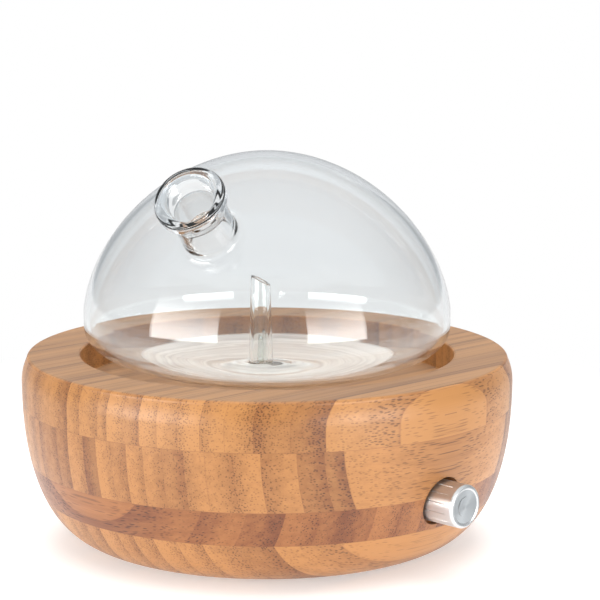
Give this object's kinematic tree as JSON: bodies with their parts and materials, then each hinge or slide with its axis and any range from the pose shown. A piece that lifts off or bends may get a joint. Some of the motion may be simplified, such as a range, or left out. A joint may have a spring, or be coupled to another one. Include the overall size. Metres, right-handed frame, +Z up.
{
  "type": "essential oil diffuser",
  "caption": "Nebulising essential oil diffuser: round turned wooden base, clear glass dome reservoir with an angled spout and an inner glass jet tube, and a metal control knob on the side.",
  "frame": {"origin": "centre of the base's flat underside, on the axis that the base was turned about; the rubber feet reach 1.5 mm below it", "axes": "+Z up the axis of the base, -Y out through the control knob, +Y out through the power jack, X along the bamboo's grain"},
  "size_m": [0.17, 0.1772, 0.1358],
  "materials": {
    "bamboo": "turned and oiled laminated bamboo",
    "clear_glass": "clear blown borosilicate",
    "aluminium": "turned, brushed face",
    "steel": "zinc plated",
    "brass": "turned",
    "copper": "lacquered copper windings",
    "black_plastic": "moulded black",
    "white_plastic": "moulded white",
    "rubber": "soft black",
    "silicone": "translucent hose",
    "foam": "dark grey foam",
    "magnet": "ferrite",
    "board": "green solder mask",
    "red_wire": "red insulation",
    "black_wire": "black insulation",
    "grey_wire": "grey insulation"
  },
  "bodies": {
    "base": {"base_housing": "bamboo", "bottom_cover": "black_plastic", "cover_screw_1": "steel", "cover_screw_2": "steel", "cover_screw_3": "steel", "cover_screw_4": "steel", "rubber_foot_1": "rubber", "rubber_foot_2": "rubber", "rubber_foot_3": "rubber", "rubber_foot_4": "rubber", "air_socket": "white_plastic", "socket_nut": "black_plastic", "potentiometer_case": "steel", "potentiometer_nut": "steel", "potentiometer_washer": "steel", "power_jack": "black_plastic", "jack_pin": "brass", "jack_nut": "steel", "motor_can": "steel", "motor_end_cap": "white_plastic", "upper_magnet": "magnet", "lower_magnet": "magnet", "diaphragm": "rubber", "pump_frame": "black_plastic", "valve_plate": "white_plastic", "pump_head": "black_plastic", "pump_cradle": "foam", "pump_strap": "black_plastic", "air_hose": "silicone", "control_board": "board", "capacitor": "black_plastic", "timer_chip": "black_plastic", "lead_connector": "white_plastic", "motor_lead_red": "red_wire", "motor_lead_black": "black_wire", "jack_lead_red": "red_wire", "jack_lead_black": "black_wire", "potentiometer_lead": "grey_wire"},
    "stem_ring": {"stem_o_ring": "rubber"},
    "reservoir": {"glass_reservoir": "clear_glass", "glass_chimney": "clear_glass", "air_stem": "clear_glass", "oil_feed_tube": "clear_glass"},
    "knob": {"control_knob": "aluminium", "knob_grub_screw": "steel", "potentiometer_shaft": "brass"},
    "rotor": {"motor_armature": "copper", "crank_eccentric": "brass"},
    "rod": {"connecting_rod": "white_plastic"}
  },
  "joints": [
    {"name": "reservoir_lift", "type": "slide", "parent": "base", "child": "stem_ring", "axis": [0, 0, 1], "range_m": [0, 0.05]},
    {"name": "reservoir_turn", "type": "hinge", "parent": "stem_ring", "child": "reservoir", "pos_m": [0, 0, 0.0475], "axis": [0, 0, 1], "continuous": true},
    {"name": "knob_turn", "type": "hinge", "parent": "base", "child": "knob", "pos_m": [0, -0.085, 0.0264], "axis": [0, 1, 0], "range_deg": [0, 300]},
    {"name": "motor_spin", "type": "hinge", "parent": "base", "child": "rotor", "pos_m": [0, 0.016, 0.019], "axis": [1, 0, 0], "continuous": true},
    {"name": "pump_stroke", "type": "slide", "parent": "base", "child": "rod", "axis": [0, 1, 0], "range_m": [-0.0009, 0.0009]}
  ]
}
